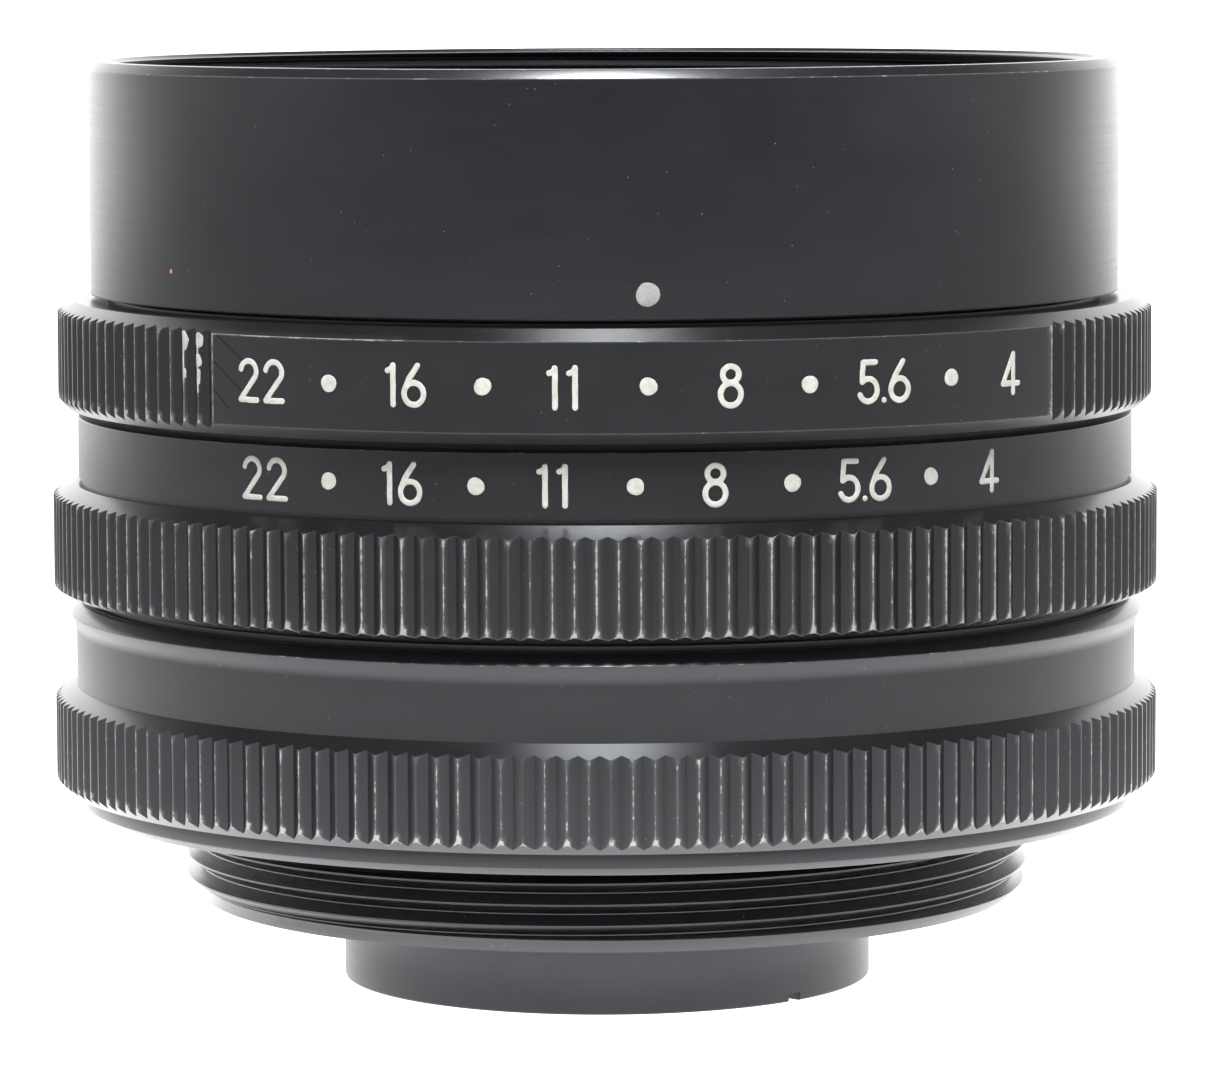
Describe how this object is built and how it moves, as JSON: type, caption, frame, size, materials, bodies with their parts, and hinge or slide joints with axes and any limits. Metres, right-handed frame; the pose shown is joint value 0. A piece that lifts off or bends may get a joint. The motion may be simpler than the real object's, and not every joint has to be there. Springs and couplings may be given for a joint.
{
  "type": "prime camera lens",
  "caption": "Wide-angle prime lens with an M42 screw mount, turning focus ring, aperture and preset rings, a working iris and a filter thread.",
  "frame": {"origin": "centre of the rear tube's rim, where the lens stands on its rear end", "axes": "+Z along the optical axis towards the front of the lens; the scales are read from the -Y side; +X to the reader's right"},
  "size_m": [0.055, 0.055, 0.0458],
  "materials": {
    "black_anodised": "satin black anodised",
    "mount_black": "satin black anodised",
    "rear_tube_black": "worn black anodised",
    "brown_black": "brownish black anodised, greased",
    "matte_black": "matt black",
    "bare_aluminium": "turned",
    "brass": "turned",
    "screw_steel": "turned",
    "blade_steel": "blued spring steel",
    "coated_glass": "polished, single blue-violet coating"
  },
  "bodies": {
    "mount": {"mount_flange": "mount_black", "rear_tube": "rear_tube_black", "guide_sleeve": "bare_aluminium", "guide_screws": "screw_steel", "focus_retainer": "brass", "friction_washer": "matte_black", "focus_stop_pin": "screw_steel"},
    "focus": {"focus_ring": "black_anodised", "focus_helicoid": "brass", "helicoid_screws": "screw_steel"},
    "optics": {"main_barrel": "brown_black", "helicoid_tube": "bare_aluminium", "tube_screws": "screw_steel", "guide_keys": "brass", "key_screws": "screw_steel", "iris_housing": "matte_black", "housing_screws": "screw_steel", "front_barrel": "black_anodised", "front_trim_ring": "matte_black", "front_cell": "matte_black", "front_lens": "coated_glass", "front_lens_ring": "matte_black", "second_lens": "coated_glass", "second_lens_ring": "matte_black", "rear_cell": "matte_black", "doublet_flint": "coated_glass", "doublet_crown": "coated_glass", "doublet_ring": "matte_black", "rear_lens": "coated_glass", "rear_lens_ring": "matte_black", "click_ball": "screw_steel", "click_spring": "screw_steel"},
    "aperture": {"aperture_ring": "black_anodised", "drive_screw": "screw_steel", "iris_rotor": "brass"},
    "preset": {"preset_ring": "black_anodised", "preset_stop_pin": "screw_steel"},
    "blade_1": {"iris_blade_1": "blade_steel"},
    "blade_2": {"iris_blade_2": "blade_steel"},
    "blade_3": {"iris_blade_3": "blade_steel"},
    "blade_4": {"iris_blade_4": "blade_steel"},
    "blade_5": {"iris_blade_5": "blade_steel"},
    "blade_6": {"iris_blade_6": "blade_steel"},
    "blade_7": {"iris_blade_7": "blade_steel"},
    "blade_8": {"iris_blade_8": "blade_steel"}
  },
  "joints": [
    {"name": "focus_turn", "type": "hinge", "parent": "mount", "child": "focus", "pos_m": [0, 0, 0], "axis": [0, 0, 1], "range_deg": [0, 300]},
    {"name": "focus_slide", "type": "slide", "parent": "mount", "child": "optics", "axis": [0, 0, 1], "range_m": [0, 0.00375]},
    {"name": "aperture_turn", "type": "hinge", "parent": "optics", "child": "aperture", "pos_m": [0, 0, 0], "axis": [0, 0, 1], "range_deg": [-40.65, 40.65]},
    {"name": "preset_turn", "type": "hinge", "parent": "optics", "child": "preset", "pos_m": [0, 0, 0], "axis": [0, 0, 1], "range_deg": [-40.65, 40.65]},
    {"name": "blade_1_turn", "type": "hinge", "parent": "optics", "child": "blade_1", "pos_m": [0.0105, 0, 0.02], "axis": [0, 0, 1], "range_deg": [-12.5, 12.5]},
    {"name": "blade_2_turn", "type": "hinge", "parent": "optics", "child": "blade_2", "pos_m": [0.00742, 0.00742, 0.02], "axis": [0, 0, 1], "range_deg": [-12.5, 12.5]},
    {"name": "blade_3_turn", "type": "hinge", "parent": "optics", "child": "blade_3", "pos_m": [0, 0.0105, 0.02], "axis": [0, 0, 1], "range_deg": [-12.5, 12.5]},
    {"name": "blade_4_turn", "type": "hinge", "parent": "optics", "child": "blade_4", "pos_m": [-0.00742, 0.00742, 0.02], "axis": [0, 0, 1], "range_deg": [-12.5, 12.5]},
    {"name": "blade_5_turn", "type": "hinge", "parent": "optics", "child": "blade_5", "pos_m": [-0.0105, 0, 0.02], "axis": [0, 0, 1], "range_deg": [-12.5, 12.5]},
    {"name": "blade_6_turn", "type": "hinge", "parent": "optics", "child": "blade_6", "pos_m": [-0.00742, -0.00742, 0.02], "axis": [0, 0, 1], "range_deg": [-12.5, 12.5]},
    {"name": "blade_7_turn", "type": "hinge", "parent": "optics", "child": "blade_7", "pos_m": [0, -0.0105, 0.02], "axis": [0, 0, 1], "range_deg": [-12.5, 12.5]},
    {"name": "blade_8_turn", "type": "hinge", "parent": "optics", "child": "blade_8", "pos_m": [0.00742, -0.00742, 0.02], "axis": [0, 0, 1], "range_deg": [-12.5, 12.5]}
  ],
  "couplings": [
    {"joint": "focus_turn", "follows": "focus_slide", "rad_per_m": 1396.2},
    {"joint": "blade_1_turn", "follows": "aperture_turn", "ratio": 0.3075},
    {"joint": "blade_2_turn", "follows": "aperture_turn", "ratio": 0.3075},
    {"joint": "blade_3_turn", "follows": "aperture_turn", "ratio": 0.3075},
    {"joint": "blade_4_turn", "follows": "aperture_turn", "ratio": 0.3075},
    {"joint": "blade_5_turn", "follows": "aperture_turn", "ratio": 0.3075},
    {"joint": "blade_6_turn", "follows": "aperture_turn", "ratio": 0.3075},
    {"joint": "blade_7_turn", "follows": "aperture_turn", "ratio": 0.3075},
    {"joint": "blade_8_turn", "follows": "aperture_turn", "ratio": 0.3075}
  ]
}
